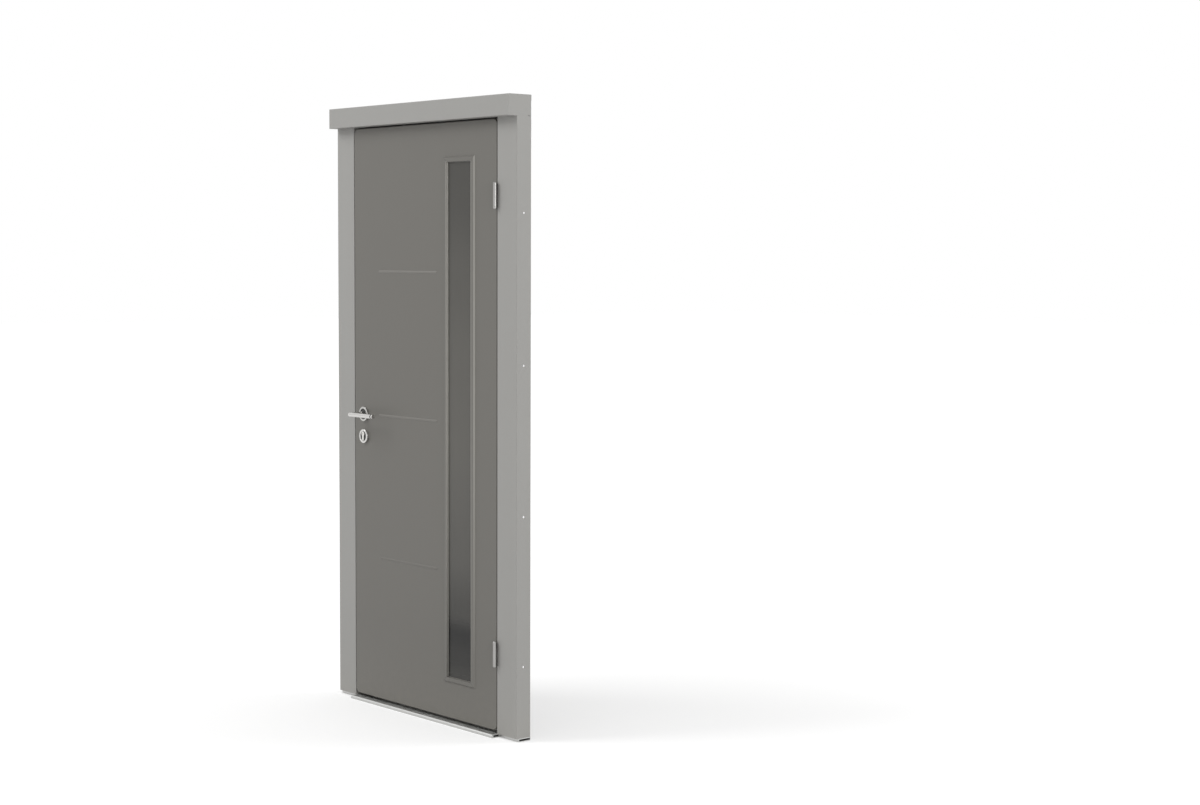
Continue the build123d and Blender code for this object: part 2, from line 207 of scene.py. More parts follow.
def makePowderGroup():
    group, given, put = newGroup(
        "powderCoat",
        [("Colour", "NodeSocketColor", (0.2, 0.2, 0.2, 1)), ("Roughness", "NodeSocketFloat", 0.45),
         ("Grain", "NodeSocketFloat", powder["grainTone"]), ("Cloud", "NodeSocketFloat", powder["cloudTone"]),
         ("Streak", "NodeSocketFloat", powder["streakTone"])],
        [("Colour", "NodeSocketColor"), ("Roughness", "NodeSocketFloat"), ("Height", "NodeSocketFloat")])
    place = objectCoords(group)
    grain = noise(group, place, *powder["grain"])
    cloud = noise(group, place, *powder["cloud"])
    streak = noise(group, stretched(group, place, powder["streakWay"]), *powder["streak"])
    swing = summed(group, about(group, grain, given["Grain"]), about(group, cloud, given["Cloud"]),
                   about(group, streak, given["Streak"]), 1.0)
    gloss = summed(group, about(group, cloud, powder["cloudGloss"]),
                   about(group, streak, powder["streakGloss"]), given["Roughness"])
    feed(group, scaled(group, given["Colour"], swing), put["Colour"])
    feed(group, gloss, put["Roughness"])
    feed(group, noise(group, place, *powder["peel"]), put["Height"])
    return group


# dust: thickest at the foot, thinning upwards, broken up by noise
dust = {"tone": grey(168, 163, 152), "fall": 2.2, "patches": (38, 4.0), "leastPatch": 0.25}


def makeDustGroup():
    group, given, put = newGroup(
        "footDust",
        [("Reach", "NodeSocketFloat", 0.3), ("Amount", "NodeSocketFloat", 0.3)],
        [("Mask", "NodeSocketFloat")])
    place = objectCoords(group)
    share = mathNode(group, "DIVIDE", axes(group, place)["Z"], given["Reach"])
    fall = mathNode(group, "POWER", mathNode(group, "SUBTRACT", 1.0, share, clamp=True), dust["fall"])
    broken = mathNode(group, "ADD", noise(group, place, *dust["patches"]), dust["leastPatch"], clamp=True)
    settled = mathNode(group, "MULTIPLY", fall, broken)
    feed(group, mathNode(group, "MULTIPLY", settled, given["Amount"], clamp=True), put["Mask"])
    return group


# brushed metal: noise drawn out along one way, as tone, roughness and height
brush = {"lines": (1.0, 3.0), "haze": (60, 3.0), "hazeTone": 0.06, "lineGloss": 0.16, "hazeGloss": 0.10,
         "bumpDepth": 0.1 * mm}


def makeBrushGroup():
    group, given, put = newGroup(
        "brushedLines",
        [("Colour", "NodeSocketColor", (0.6, 0.6, 0.6, 1)), ("Roughness", "NodeSocketFloat", 0.3),
         ("Way", "NodeSocketVector", (12, 900, 900)), ("Tone", "NodeSocketFloat", 0.12)],
        [("Colour", "NodeSocketColor"), ("Roughness", "NodeSocketFloat"), ("Height", "NodeSocketFloat")])
    place = objectCoords(group)
    lines = noise(group, vectorMath(group, "MULTIPLY", place, given["Way"]), *brush["lines"])
    haze = noise(group, place, *brush["haze"])
    swing = summed(group, about(group, lines, given["Tone"]), about(group, haze, brush["hazeTone"]), 1.0)
    gloss = summed(group, about(group, lines, brush["lineGloss"]), about(group, haze, brush["hazeGloss"]),
                   given["Roughness"])
    feed(group, scaled(group, given["Colour"], swing), put["Colour"])
    feed(group, gloss, put["Roughness"])
    feed(group, lines, put["Height"])
    return group


powderGroup = makePowderGroup()
dustGroup = makeDustGroup()
brushGroup = makeBrushGroup()


# painted metal: powder coat with dust at the foot, and with the painted highlights that a paint's own values
# ask for
# the leaf's paler colour for the beads' crests is a painted highlight
leafPaint = {"colour": grey(104, 102, 97), "roughness": 0.46, "dustReach": 0.34, "dust": 0.16,
             "crest": 0.6 * mm, "beadHighlight": grey(114, 112, 107), "highlightFrom": 0.4, "highlightTo": 1.4}
framePaint = {"colour": grey(152, 151, 148), "roughness": 0.48, "dustReach": 0.26, "dust": 0.20}
# the trim's paler colour for its long sides is a painted highlight
trimPaint = {"colour": grey(104, 102, 97), "roughness": 0.32, "mitre": 0.35 * mm, "joint": grey(58, 57, 55),
             "trimHighlight": grey(164, 162, 156), "bevel": 5.0 * mm, "sleeve": 16.4 * mm, "onBevel": 0.7,
             "highlightFrom": -0.3, "highlightTo": 1.2}


def beadHighlightMask(tree, paint):
    # painted highlight: the beads stand out of the leaf's face and are painted paler on top, the higher ones
    # more
    place = axes(tree, objectCoords(tree))
    proud = mathNode(tree, "LESS_THAN", place["Y"], -paint["crest"])
    return mathNode(tree, "MULTIPLY", proud, rising(tree, place["Z"], paint["highlightFrom"], paint["highlightTo"]))


def withinTrim(tree):
    # how far a point lies inside the trim's outer edge, measured from its sides and from its ends
    low, high = nodeBox("window_trim")
    half = (high - low) / 2
    place = axes(tree, vectorMath(tree, "SUBTRACT", objectCoords(tree), middleOf("window_trim").tolist()))
    return [mathNode(tree, "SUBTRACT", half[index], mathNode(tree, "ABSOLUTE", place[axis]))
            for axis, index in (("X", 0), ("Z", 2))]


def mitreMask(tree, halfWidth):
    # a hairline where a point is as far from the trim's side as from its end
    fromSide, fromEnd = withinTrim(tree)
    apart = mathNode(tree, "ABSOLUTE", mathNode(tree, "SUBTRACT", fromSide, fromEnd))
    return mathNode(tree, "LESS_THAN", apart, halfWidth)


def trimHighlightMask(tree, paint):
    # painted highlight: the long sides are painted paler on their outer bevel and inside the opening, less
    # towards the foot
    fromSide, fromEnd = withinTrim(tree)
    onBevel = mathNode(tree, "LESS_THAN", fromSide, paint["bevel"])
    outer = mathNode(tree, "MULTIPLY", onBevel, paint["onBevel"])
    inner = mathNode(tree, "GREATER_THAN", fromSide, paint["sleeve"])
    along = mathNode(tree, "GREATER_THAN", fromEnd, fromSide)
    sides = mathNode(tree, "MULTIPLY", mathNode(tree, "MAXIMUM", outer, inner), along)
    height = axes(tree, objectCoords(tree))["Z"]
    return mathNode(tree, "MULTIPLY", sides, rising(tree, height, paint["highlightFrom"], paint["highlightTo"]))


def makePaint(name, paint):
    material, tree, shader = newMaterial(name, Specular_IOR_Level=powder["specular"])
    coat = placeGroup(tree, powderGroup, Colour=paint["colour"], Roughness=paint["roughness"])
    colour = coat["Colour"]
    if "dust" in paint:
        settled = placeGroup(tree, dustGroup, Reach=paint["dustReach"], Amount=paint["dust"])
        colour = mixColours(tree, settled["Mask"], colour, dust["tone"])
    if "crest" in paint:
        # painted highlight on the beads' crests
        colour = mixColours(tree, beadHighlightMask(tree, paint), colour, paint["beadHighlight"])
    if "mitre" in paint:
        # painted highlight on the trim's long sides
        colour = mixColours(tree, trimHighlightMask(tree, paint), colour, paint["trimHighlight"])
        colour = mixColours(tree, mitreMask(tree, paint["mitre"]), colour, paint["joint"])
    feed(tree, colour, shader.inputs["Base Color"])
    feed(tree, coat["Roughness"], shader.inputs["Roughness"])
    addBump(tree, shader, coat["Height"], powder["bump"], powder["bumpDepth"])
    return material


# galvanised sheet: spangle, where each cell of the zinc has its own grey and its own gloss
zinc = {"colour": (0.55, 0.56, 0.57), "roughness": 0.42, "cell": 9 * mm, "haze": (14, 4.0),
        "grain": (900, 2.0), "cellTone": 0.22, "hazeTone": 0.22, "cellGloss": 0.14, "hazeGloss": 0.12,
        "bump": 0.06, "bumpDepth": 0.2 * mm}


def makeZinc(name):
    material, tree, shader = newMaterial(name, Metallic=1.0)
    place = objectCoords(tree)
    cells = addNode(tree, "ShaderNodeTexVoronoi", feature="F1")
    feed(tree, place, cells.inputs["Vector"])
    feed(tree, 1 / zinc["cell"], cells.inputs["Scale"])
    split = addNode(tree, "ShaderNodeSeparateColor")
    feed(tree, cells.outputs["Color"], split.inputs[0])
    haze = noise(tree, place, *zinc["haze"])
    swing = summed(tree, about(tree, split.outputs[0], zinc["cellTone"]),
                   about(tree, haze, zinc["hazeTone"]), 1.0)
    gloss = summed(tree, about(tree, split.outputs[1], zinc["cellGloss"]),
                   about(tree, haze, zinc["hazeGloss"]), zinc["roughness"])
    feed(tree, scaled(tree, zinc["colour"], swing), shader.inputs["Base Color"])
    feed(tree, gloss, shader.inputs["Roughness"])
    addBump(tree, shader, noise(tree, place, *zinc["grain"]), zinc["bump"], zinc["bumpDepth"])
    return material


# drawn and brushed metals: the way is how fine the lines are along each axis
aluminium = {"colour": (0.54, 0.54, 0.53, 1), "roughness": 0.38, "way": (3, 1100, 1100),
             "tone": 0.10, "bump": 0.10}
stainless = {"colour": (0.55, 0.54, 0.525, 1), "roughness": 0.26, "way": (14, 1300, 1300),
             "tone": 0.14, "bump": 0.06}
nickel = {"colour": (0.66, 0.65, 0.62, 1), "roughness": 0.30, "way": (900, 900, 60),
          "tone": 0.10, "bump": 0.05}
hingeMetal = {"colour": (0.36, 0.355, 0.345, 1), "roughness": 0.34, "way": (900, 900, 40),
              "tone": 0.10, "bump": 0.05}


def makeBrushed(name, metal):
    material, tree, shader = newMaterial(name, Metallic=1.0)
    lines = placeGroup(tree, brushGroup, Colour=metal["colour"], Roughness=metal["roughness"],
                       Way=metal["way"], Tone=metal["tone"])
    feed(tree, lines["Colour"], shader.inputs["Base Color"])
    feed(tree, lines["Roughness"], shader.inputs["Roughness"])
    addBump(tree, shader, lines["Height"], metal["bump"], brush["bumpDepth"])
    return material


# turned steel: rings about the middle of a round cover, as noise of the distance from its axis alone
turned = {"rose": (0.48, 0.475, 0.46), "escutcheon": (0.58, 0.57, 0.555), "roughness": 0.24,
          "pitch": 0.5 * mm, "ringTone": 0.16, "ringGloss": 0.18, "bump": 0.05, "bumpDepth": 0.1 * mm}


def makeTurned(name, cover):
    material, tree, shader = newMaterial(name, Metallic=1.0)
    shifted = vectorMath(tree, "SUBTRACT", objectCoords(tree), middleOf(f"outer_{cover}").tolist())
    flat = vectorMath(tree, "MULTIPLY", shifted, (1, 0, 1))
    rings = addNode(tree, "ShaderNodeTexNoise", noise_dimensions="1D")
    feed(tree, vectorMath(tree, "LENGTH", flat, result="Value"), rings.inputs["W"])
    feed(tree, 1 / turned["pitch"], rings.inputs["Scale"])
    pattern = rings.outputs["Fac"]
    swing = summed(tree, about(tree, pattern, turned["ringTone"]), 1.0)
    gloss = summed(tree, about(tree, pattern, turned["ringGloss"]), turned["roughness"])
    feed(tree, scaled(tree, turned[cover], swing), shader.inputs["Base Color"])
    feed(tree, gloss, shader.inputs["Roughness"])
    addBump(tree, shader, pattern, turned["bump"], turned["bumpDepth"])
    return material


# rubber and dark resin: a plain dark tone with a greyish bloom in patches; the resin's dark tone is partly
# painted shade in the roses' and escutcheons' recesses and in the lever's groove
sealRubber = {"colour": grey(30, 30, 31), "roughness": 0.62}
darkResinAndShade = {"colour": grey(62, 62, 60), "roughness": 0.50}
bloom = {"tone": grey(52, 52, 51), "patches": (45, 4.0), "patchGloss": 0.2, "grain": (1400, 2.0),
         "specular": 0.35, "bump": 0.15, "bumpDepth": 0.2 * mm}


def makeRubber(name, stuff):
    material, tree, shader = newMaterial(name, Specular_IOR_Level=bloom["specular"])
    place = objectCoords(tree)
    patches = noise(tree, place, *bloom["patches"])
    gloss = summed(tree, about(tree, patches, bloom["patchGloss"]), stuff["roughness"])
    feed(tree, mixColours(tree, patches, stuff["colour"], bloom["tone"]), shader.inputs["Base Color"])
    feed(tree, gloss, shader.inputs["Roughness"])
    addBump(tree, shader, noise(tree, place, *bloom["grain"]), bloom["bump"], bloom["bumpDepth"])
    return material


# smoked acrylic: coloured right through and wiped hazy; its change with height is painted reflection, palest
# at mid height and darkest a little above the foot
paneTintAndReflection = {"hue": (1.0, 0.96, 0.86), "clear": 0.25, "ior": 1.49, "roughness": 0.24, "specular": 0.22,
            "wipe": (1.0, 4.0), "wipeWay": (30, 30, 5), "wipeTone": 0.10, "wipeGloss": 0.05,
            # share of the height from the foot, and the colour there, which carries the painted reflection
            "levels": ((0.0, 0.052), (0.05, 0.026), (0.095, 0.0105), (0.135, 0.058), (0.25, 0.098),
                       (0.46, 0.124), (0.62, 0.121), (0.78, 0.103), (0.92, 0.077), (1.0, 0.073))}


def makePane(name, tintAndReflection):
    material, tree, shader = newMaterial(name, Transmission_Weight=tintAndReflection["clear"], IOR=tintAndReflection["ior"],
                                         Specular_IOR_Level=tintAndReflection["specular"])
    place = objectCoords(tree)
    low, high = nodeBox("window_pane")
    aboveFoot = mathNode(tree, "SUBTRACT", axes(tree, place)["Z"], low[2])
    # painted reflection: the pane's colour follows its height
    ramp = addNode(tree, "ShaderNodeValToRGB")
    ramp.color_ramp.interpolation = "EASE"
    steps = ramp.color_ramp.elements
    while len(steps) < len(tintAndReflection["levels"]):
        steps.new(1.0)
    for step, (position, level) in zip(steps, tintAndReflection["levels"]):
        step.position = position
        step.color = (*(level * part for part in tintAndReflection["hue"]), 1)
    feed(tree, mathNode(tree, "DIVIDE", aboveFoot, high[2] - low[2], clamp=True), ramp.inputs["Fac"])
    wiped = noise(tree, stretched(tree, place, tintAndReflection["wipeWay"]), *tintAndReflection["wipe"])
    swing = summed(tree, about(tree, wiped, tintAndReflection["wipeTone"]), 1.0)
    gloss = summed(tree, about(tree, wiped, tintAndReflection["wipeGloss"]), tintAndReflection["roughness"])
    feed(tree, scaled(tree, ramp.outputs["Color"], swing), shader.inputs["Base Color"])
    feed(tree, gloss, shader.inputs["Roughness"])
    return material


finishes = {
    "leaf_paint": makePaint("leafPowderCoat", leafPaint),
    "frame_paint": makePaint("framePowderCoat", framePaint),
    "trim_paint": makePaint("trimPowderCoat", trimPaint),
    "galvanised": makeZinc("galvanisedSheet"),
    "aluminium": makeBrushed("millAluminium", aluminium),
    "stainless": makeBrushed("brushedStainless", stainless),
    "nickel": makeBrushed("satinNickel", nickel),
    "rubber": makeRubber("sealRubber", sealRubber),
    "smoked_pane": makePane("smokedAcrylicPaintedReflection", paneTintAndReflection),
}
hingeSteel = makeBrushed("hingeSteel", hingeMetal)
roseSteel = makeTurned("roseSteel", "rose")
guardSteel = makeTurned("escutcheonSteel", "escutcheon")
# dark resin, its tone partly painted shade in the recesses and the lever's groove
resinAndShade = makeRubber("resinAndShade", darkResinAndShade)

# the hinges share the stainless slot, but are of a duller steel
for part in frame["record"]["subparts"]:
    for slot in nodes[part["node"]].material_slots:
        slot.material = hingeSteel if "_hinge_" in part["node"] else finishes[part["material_slot"]]


# mesh helpers: doubles closer than merge become one point, and edges past the crease, in degrees, stay sharp
shell = {"merge": 0.001 * mm, "crease": 34}


def gridQuads(rows, columns, closeRows):
    # one quad between each two neighbouring rows and columns; columns run round, and rows too where asked
    index = np.arange(rows * columns).reshape(rows, columns)
    index = np.concatenate([index, index[:, :1]], axis=1)
    if closeRows:
        index = np.concatenate([index, index[:1]])
    return np.stack([index[:-1, :-1], index[:-1, 1:], index[1:, 1:], index[1:, :-1]], axis=-1).reshape(-1, 4)


def makePiece(name, grid, body, slot, finish=None, closeRows=False):
    # grid is rows x columns of points, or several copies of that in one piece; poles and seams are merged
    grid = np.asarray(grid, float)
    if grid.ndim == 3:
        grid = grid[None]
    copies, rows, columns = grid.shape[:3]
    quads = gridQuads(rows, columns, closeRows)
    faces = quads[None] + np.arange(copies)[:, None, None] * rows * columns
    mesh = bpy.data.meshes.new(name)
    mesh.from_pydata(grid.reshape(-1, 3).tolist(), [], faces.reshape(-1, 4).tolist())
    merged = bmesh.new()
    merged.from_mesh(mesh)
    bmesh.ops.remove_doubles(merged, verts=merged.verts, dist=shell["merge"])
    bmesh.ops.recalc_face_normals(merged, faces=merged.faces)
    merged.to_mesh(mesh)
    merged.free()
    mesh.polygons.foreach_set("use_smooth", np.ones(len(mesh.polygons), bool))
    mesh.set_sharp_from_angle(angle=math.radians(shell["crease"]))
    mesh.materials.append(finish or finishes[slot])
    piece = bpy.data.objects.new(name, mesh)
    scene.collection.objects.link(piece)
    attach(piece, body)
    return piece


facingAxes = {  # side, up and outward ways for a thing that faces each way
    "+x": ((0, 1, 0), (0, 0, 1), (1, 0, 0)),
    "-x": ((0, -1, 0), (0, 0, 1), (-1, 0, 0)),
    "+y": ((-1, 0, 0), (0, 0, 1), (0, 1, 0)),
    "-y": ((1, 0, 0), (0, 0, 1), (0, -1, 0)),
    "+z": ((1, 0, 0), (0, 1, 0), (0, 0, 1)),
}


def facing(points, way, places):
    # local side, up and out are turned to a way and set at each place
    local = points @ np.array(facingAxes[way], float)
    return local[None] + np.asarray(places, float).reshape(-1, 1, 1, 3)


def allRound(columns):
    # even angles once round, without the first one again
    return np.linspace(0, 2 * np.pi, columns, endpoint=False)


def offZero(values):
    # sizes without their sign, kept just off zero so that they can divide
    return np.maximum(np.abs(values), 1e-6)


def roundCorners(corners, steps=5):
    # each corner (a, b, radius) becomes an arc that touches both its sides; radius 0 keeps the point
    path = np.array([corner[:2] for corner in corners], float)
    out = []
    for index, here in enumerate(path):
        radius = corners[index][2]
        if radius == 0:
            out.append(here[None])
            continue
        before = path[index - 1] - here
        after = path[(index + 1) % len(path)] - here
        before /= np.linalg.norm(before)
        after /= np.linalg.norm(after)
        half = math.acos(np.clip(before @ after, -1, 1)) / 2
        middle = here + (before + after) / np.linalg.norm(before + after) * radius / math.sin(half)
        start = here + before * radius / math.tan(half) - middle
        end = here + after * radius / math.tan(half) - middle
        turn = math.atan2(start[0] * end[1] - start[1] * end[0], start @ end)
        angle = np.linspace(0, turn, steps)[:, None]
        crossed = np.array([-start[1], start[0]])
        out.append(middle + start * np.cos(angle) + crossed * np.sin(angle))
    return np.concatenate(out)


def lathe(profile, columns=96):
    # a profile of radius and height turned about the outward way
    angle = allRound(columns)
    radius, height = profile[:, :1], profile[:, 1:]
    return np.stack([radius * np.cos(angle), radius * np.sin(angle), height + 0 * angle], axis=-1)


def polarRows(rows):
    # each row is a radius that changes with the angle, and a height
    radius = np.array([row[0] for row in rows])
    height = np.array([np.broadcast_to(row[1], row[0].shape) for row in rows])
    angle = allRound(radius.shape[1])
    return np.stack([radius * np.cos(angle), radius * np.sin(angle), height], axis=-1)


def withCaps(rows):
    # closes both ends of a run of outlines with a point at each outline's middle
    first = np.broadcast_to(rows[0].mean(axis=0), rows[0].shape)
    last = np.broadcast_to(rows[-1].mean(axis=0), rows[-1].shape)
    return np.concatenate([first[None], rows, last[None]])


# lever bars: a circle carried out from the leaf, through a mitre, and along the grip; edgeAngle in degrees
leverBar = {"radius": 8.0 * mm, "endBevel": 1.0 * mm, "columns": 64, "edge": 0.3 * mm, "edgeSteps": 2,
            "edgeAngle": 28, "band": 11.0 * mm, "bandWidth": 6.0 * mm, "bandDepth": 0.9 * mm,
            "bandSink": 0.15 * mm, "bandRound": 0.4 * mm}


def makeLever(side, way):
    bar = leverBar
    low, high = nodeBox(f"{side}_lever")
    outward = -1 if way == "-y" else 1
    foot = high[1] if outward < 0 else low[1]
    tip = low[1] if outward < 0 else high[1]
    radius = bar["radius"]
    standOff = abs(tip - foot) - radius
    reach = high[0] - low[0] - radius
    angle = allRound(bar["columns"])
    across, upright = np.cos(angle), np.sin(angle)

    def neckRow(out, size):
        return np.stack([size * across, out + 0 * across, size * upright], axis=-1)

    def gripRow(along, size):
        return np.stack([along + 0 * across, standOff - size * across, size * upright], axis=-1)

    mitre = np.stack([radius * across, standOff - radius * across, radius * upright], axis=-1)
    band = reach - bar["band"]
    bandEnd = band + bar["bandWidth"]
    sunk = radius - bar["bandDepth"]
    end = reach - bar["endBevel"]
    neck = [neckRow(0, 0), neckRow(0, radius), neckRow(standOff - 2 * radius, radius), mitre]
    grip = [(2 * radius, radius), (reach / 2, radius), (band, radius), (band, sunk), (bandEnd, sunk),
            (bandEnd, radius), (end, radius), (reach, radius - bar["endBevel"]), (reach, 0)]
    rows = np.stack(neck + [gripRow(along, size) for along, size in grip])
    mirrored = np.array([1, outward, 1])
    corner = np.array([low[0] + radius, foot, (low[2] + high[2]) / 2])
    piece = makePiece(f"{side}_lever_bar", rows * mirrored + corner, "lever", "stainless")
    soften = piece.modifiers.new("edge", "BEVEL")
    soften.width = bar["edge"]
    soften.segments = bar["edgeSteps"]
    soften.limit_method = "ANGLE"
    soften.angle_limit = math.radians(bar["edgeAngle"])
    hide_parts(f"{side}_lever")
    # dark band in the groove, its tone partly painted shade: a ring with rounded shoulders, a little below
    # the bar's surface
    top = radius - bar["bandSink"]
    crown = roundCorners([(band, sunk, 0), (band, top, bar["bandRound"]), (bandEnd, top, bar["bandRound"]),
                          (bandEnd, sunk, 0)])
    hoop = np.stack([gripRow(along, size) for along, size in crown])
    makePiece(f"{side}_lever_band", hoop * mirrored + corner, "lever", "rubber", resinAndShade, closeRows=True)


# roses: a steel ring with a rolled rim round a recessed bearing, both turned from a profile; the bearing's
# dark tone is partly painted shade
roseRing = {"inner": 19.5 * mm, "rim": 1.1 * mm, "innerRim": 0.5 * mm}
roseBearing = {"bore": 8.4 * mm, "collar": 11.0 * mm, "collarHeight": 7.2 * mm, "face": 5.6 * mm,
               "round": 0.6 * mm, "columns": 72}


def discOf(node, way):
    # radius and height of a round cover, and the middle of the side that lies on the leaf
    low, high = nodeBox(node)
    base = [(low[0] + high[0]) / 2, high[1] if way == "-y" else low[1], (low[2] + high[2]) / 2]
    return (high[0] - low[0]) / 2, high[1] - low[1], base


def makeRose(side, way):
    radius, height, base = discOf(f"{side}_rose", way)
    inner = roseRing["inner"]
    ring = roundCorners([(inner, 0, 0), (inner, height, roseRing["innerRim"]),
                         (radius, height, roseRing["rim"]), (radius, 0, 0)])
    cover = makePiece(f"{side}_rose_ring", facing(lathe(ring), way, base), "leaf", "stainless", roseSteel,
                      closeRows=True)
    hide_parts(f"{side}_rose")
    bore, collar, edge = roseBearing["bore"], roseBearing["collar"], roseBearing["round"]
    top, face = roseBearing["collarHeight"], roseBearing["face"]
    profile = roundCorners([(bore, 0, 0), (bore, top, edge), (collar, top, edge), (collar, face, edge),
                            (inner, face, 0), (inner, 0, 0)])
    bearing = facing(lathe(profile, roseBearing["columns"]), way, base)
    makePiece(f"{side}_rose_bearing", bearing, "leaf", "rubber", resinAndShade, closeRows=True)


# escutcheons: a steel ring round a recessed plate with the cylinder's outline cut through it; the plate's
# dark tone is partly painted shade
guardRing = {"inner": 17.4 * mm, "rim": 1.1 * mm, "innerRim": 0.5 * mm}
guardPlate = {"face": 6.0 * mm, "gap": 0.3 * mm, "lip": 0.5 * mm, "columns": 180, "legShare": 10 / 17}


def cylinderOutline(columns, gap):
    # seen from the escutcheon's middle: the further of the round head and the round-ended leg, at each angle
    low, high = nodeBox("lock_cylinder")
    centreUp = middleOf("outer_escutcheon")[2]
    headRadius = (high[0] - low[0]) / 2
    legRadius = headRadius * guardPlate["legShare"]
    headUp = high[2] - headRadius - centreUp
    legDown = low[2] + legRadius - centreUp
    angle = allRound(columns)
    across, upright = np.cos(angle), np.sin(angle)

    def discReach(centre, radius):
        inside = radius ** 2 - (centre * across) ** 2
        return np.where(inside > 0, centre * upright + np.sqrt(np.maximum(inside, 0)), 0)

    head = discReach(headUp, headRadius + gap)
    legSide = (legRadius + gap) / offZero(across)
    straight = np.where(legSide * upright > legDown, legSide, discReach(legDown, legRadius + gap))
    leg = np.where(upright < 0, straight, np.minimum(legSide, headUp))
    return np.maximum(head, leg)


def makeEscutcheon(side, way):
    radius, height, base = discOf(f"{side}_escutcheon", way)
    inner, face, lip = guardRing["inner"], guardPlate["face"], guardPlate["lip"]
    ring = roundCorners([(inner, 0, 0), (inner, height, guardRing["innerRim"]),
                         (radius, height, guardRing["rim"]), (radius, 0, 0)])
    cover = makePiece(f"{side}_escutcheon_ring", facing(lathe(ring), way, base), "leaf", "stainless",
                      guardSteel, closeRows=True)
    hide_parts(f"{side}_escutcheon")
    hole = cylinderOutline(guardPlate["columns"], guardPlate["gap"])
    rim = np.full(hole.shape, inner)
    rows = [(hole, 0), (hole, face - lip), (hole + lip, face), (rim, face), (rim, 0)]
    makePiece(f"{side}_escutcheon_plate", facing(polarRows(rows), way, base), "leaf", "rubber", resinAndShade,
              closeRows=True)


# plug faces: a thin disc on the cylinder's end with the key's slot through it
plugFace = {"radius": 6.6 * mm, "height": 0.4 * mm, "bevel": 0.3 * mm, "slotWidth": 1.6 * mm,
            "slotHeight": 8.0 * mm, "columns": 96}


def makePlug(side, way):
    low, high = nodeBox("lock_cylinder")
    headRadius = (high[0] - low[0]) / 2
    place = [(low[0] + high[0]) / 2, low[1] if way == "-y" else high[1], high[2] - headRadius]
    angle = allRound(plugFace["columns"])
    slotSide = plugFace["slotWidth"] / 2 / offZero(np.cos(angle))
    slotEnd = plugFace["slotHeight"] / 2 / offZero(np.sin(angle))
    slot = np.minimum(slotSide, slotEnd)
    rim = np.full(angle.shape, plugFace["radius"])
    rows = [(slot, 0), (slot, plugFace["height"]), (rim - plugFace["bevel"], plugFace["height"]), (rim, 0)]
    makePiece(f"{side}_plug_face", facing(polarRows(rows), way, place), "leaf", "nickel", closeRows=True)


for side, way in (("outer", "-y"), ("inner", "+y")):
    makeLever(side, way)
    makeRose(side, way)
    makeEscutcheon(side, way)
    makePlug(side, way)
print("lever set made")


# screws: a low dome with a cross pressed into it, in shares of the head's radius and rise
screwHead = {"arm": 0.58, "halfArm": 0.13, "domeFall": 0.8, "crossFloor": 0.25, "crossTaper": 0.8,
             "rings": (0.4, 0.75, 1), "columns": 48}


def screwGrid(radius, rise):
    # rows run from the middle of the cross up its wall, over the dome to the rim, and back underneath
    angle = allRound(screwHead["columns"])
    across, upright = offZero(np.cos(angle)), offZero(np.sin(angle))
    arm, halfArm = radius * screwHead["arm"], radius * screwHead["halfArm"]
    levelArm = np.minimum(arm / across, halfArm / upright)
    uprightArm = np.minimum(arm / upright, halfArm / across)
    cross = np.maximum(levelArm, uprightArm)

    def dome(size):
        return rise * np.sqrt(np.maximum(1 - screwHead["domeFall"] * (size / radius) ** 2, 0))

    floor = rise * screwHead["crossFloor"]
    rows = [(0 * cross, floor), (cross * screwHead["crossTaper"], floor), (cross, dome(cross))]
    for share in screwHead["rings"]:
        size = cross + (radius - cross) * share
        rows.append((size, dome(size)))
    rows += [(np.full(cross.shape, radius), 0), (0 * cross, 0)]
    return polarRows(rows)


# rivets: a dome with the broken stem's dimple in the middle, in shares of the head's radius and rise
rivetHead = {"rim": 0.12, "domeFrom": 0.32, "domeTo": 1.571, "domeSteps": 6, "dimple": 0.22,
             "dimpleFloor": 0.6, "dimpleEdge": 0.62, "columns": 24}


def rivetGrid(radius, rise):
    # the dome is part of an arc set on a low rim, turned about the rivet's axis
    rim = rivetHead["rim"]
    turns = np.linspace(rivetHead["domeFrom"], rivetHead["domeTo"], rivetHead["domeSteps"])
    dome = np.stack([radius * np.sin(turns), rise * (rim + (1 - rim) * np.cos(turns))], axis=-1)
    dimple = [(0, rise * rivetHead["dimpleFloor"]),
              (radius * rivetHead["dimple"], rise * rivetHead["dimpleEdge"])]
    return lathe(np.concatenate([dimple, dome, [(radius, 0), (0, 0)]]), rivetHead["columns"])


def evenly(start, end, pitch, inset):
    # places along a run, as near to the pitch as a whole number of them allows
    count = max(2, int(round((end - start - 2 * inset) / pitch)) + 1)
    return np.linspace(start + inset, end - inset, count)


# hinge screws: two in each plate, on the side that shows once the leaf is open
hingeScrews = {"radius": 3.4 * mm, "rise": 0.7 * mm, "plate": 2.5 * mm, "inset": 13 * mm, "spread": 0.27}


def makeHingeScrews(level):
    screw = screwGrid(hingeScrews["radius"], hingeScrews["rise"])
    faces = {"door": nodeBox("door_skin")[1][0] + hingeScrews["plate"],
             "frame": middleOf(f"{level}_hinge_pin")[0] - hingeScrews["plate"]}
    for half, body, way in (("door", "leaf", "+x"), ("frame", "frame", "-x")):
        low, high = nodeBox(f"{level}_hinge_{half}_leaf")
        middle, tall = (low[2] + high[2]) / 2, high[2] - low[2]
        heights = middle + tall * hingeScrews["spread"] * np.array([-1, 1])
        places = [(faces[half], high[1] - hingeScrews["inset"], height) for height in heights]
        makePiece(f"{level}_hinge_{half}_screws", facing(screw, way, places), body, "stainless")


# lock and strike plate screws: one near each end
plateScrews = {"radius": 3.2 * mm, "rise": 0.6 * mm, "inset": 12 * mm}


